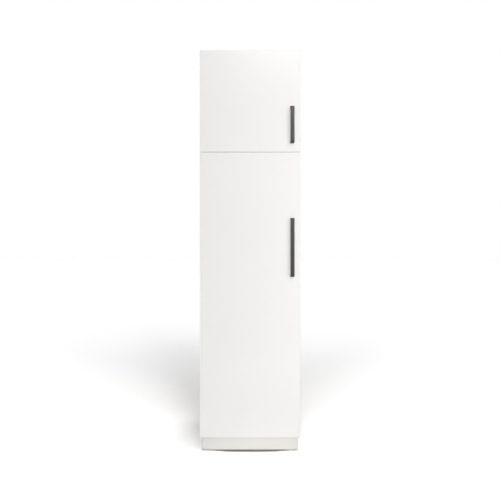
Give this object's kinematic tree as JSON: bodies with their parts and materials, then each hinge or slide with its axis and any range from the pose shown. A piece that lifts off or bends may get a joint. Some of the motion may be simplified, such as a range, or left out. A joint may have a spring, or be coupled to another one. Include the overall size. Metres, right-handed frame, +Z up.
{
  "type": "broom cupboard",
  "caption": "Tall narrow white broom cupboard with a small upper door and a tall lower door on concealed hinges, dark bridge handles, shelves inside and a recessed plinth.",
  "frame": {"origin": "on the floor under the middle of the whole object's width and depth", "axes": "+Z up, the doors face -Y, +X to the right of someone facing the doors"},
  "size_m": [0.5, 0.452, 2],
  "materials": {
    "white_board": "satin white melamine on chipboard",
    "door_white": "satin white melamine on chipboard, edge banded",
    "hardboard": "white-faced hardboard",
    "raw_wood": "plain beech and pine",
    "glide_plastic": "black plastic",
    "zinc": "die-cast zinc",
    "handle_dark": "satin dark grey powder coat",
    "soft_dot": "soft clear plastic",
    "bright_steel": "zinc-plated steel",
    "hinge_nickel": "nickel-plated pressed steel"
  },
  "bodies": {
    "carcass": {"side_panel_left": "white_board", "side_panel_right": "white_board", "top_panel": "white_board", "bottom_panel": "white_board", "fixed_shelf": "white_board", "upper_back_board": "hardboard", "lower_back_board": "hardboard", "plinth_front": "white_board", "plinth_rear": "white_board", "plinth_left": "white_board", "plinth_right": "white_board", "plinth_corner_blocks": "raw_wood", "plinth_glides": "glide_plastic", "cam_locks": "zinc", "cam_bolts": "bright_steel", "wood_dowels": "raw_wood", "adjustable_shelf": "white_board", "shelf_pins": "bright_steel", "wall_brackets": "bright_steel", "wall_bracket_screws": "bright_steel", "upper_arm_pins": "bright_steel", "upper_hinge_arms": "hinge_nickel", "upper_arm_screws": "bright_steel", "upper_hinge_plates": "hinge_nickel", "upper_plate_screws": "bright_steel", "lower_arm_pins": "bright_steel", "lower_hinge_arms": "hinge_nickel", "lower_arm_screws": "bright_steel", "lower_hinge_plates": "hinge_nickel", "lower_plate_screws": "bright_steel"},
    "upper_lever_set": {"upper_hinge_levers": "hinge_nickel"},
    "upper_leaf": {"upper_door": "door_white", "upper_handle": "handle_dark", "upper_handle_screws": "bright_steel", "upper_door_buffers": "soft_dot", "upper_hinge_cups": "hinge_nickel", "upper_cup_screws": "bright_steel", "upper_cup_pins": "bright_steel"},
    "lower_lever_set": {"lower_hinge_levers": "hinge_nickel"},
    "lower_leaf": {"lower_door": "door_white", "lower_handle": "handle_dark", "lower_handle_screws": "bright_steel", "lower_door_buffers": "soft_dot", "lower_hinge_cups": "hinge_nickel", "lower_cup_screws": "bright_steel", "lower_cup_pins": "bright_steel"}
  },
  "joints": [
    {"name": "upper_lever_turn", "type": "hinge", "parent": "carcass", "child": "upper_lever_set", "pos_m": [-0.212, -0.1678, 0], "axis": [0, 0, 1], "range_deg": [0, 29.4]},
    {"name": "upper_door_swing", "type": "hinge", "parent": "upper_lever_set", "child": "upper_leaf", "pos_m": [-0.2377, -0.1813, 0], "axis": [0, 0, -1], "range_deg": [0, 134.4]},
    {"name": "lower_lever_turn", "type": "hinge", "parent": "carcass", "child": "lower_lever_set", "pos_m": [-0.212, -0.1678, 0], "axis": [0, 0, 1], "range_deg": [0, 29.4]},
    {"name": "lower_door_swing", "type": "hinge", "parent": "lower_lever_set", "child": "lower_leaf", "pos_m": [-0.2377, -0.1813, 0], "axis": [0, 0, -1], "range_deg": [0, 134.4]}
  ],
  "couplings": [
    {"joint": "upper_lever_turn", "follows": "upper_door_swing", "ratio": 0.21875},
    {"joint": "lower_lever_turn", "follows": "lower_door_swing", "ratio": 0.21875}
  ]
}
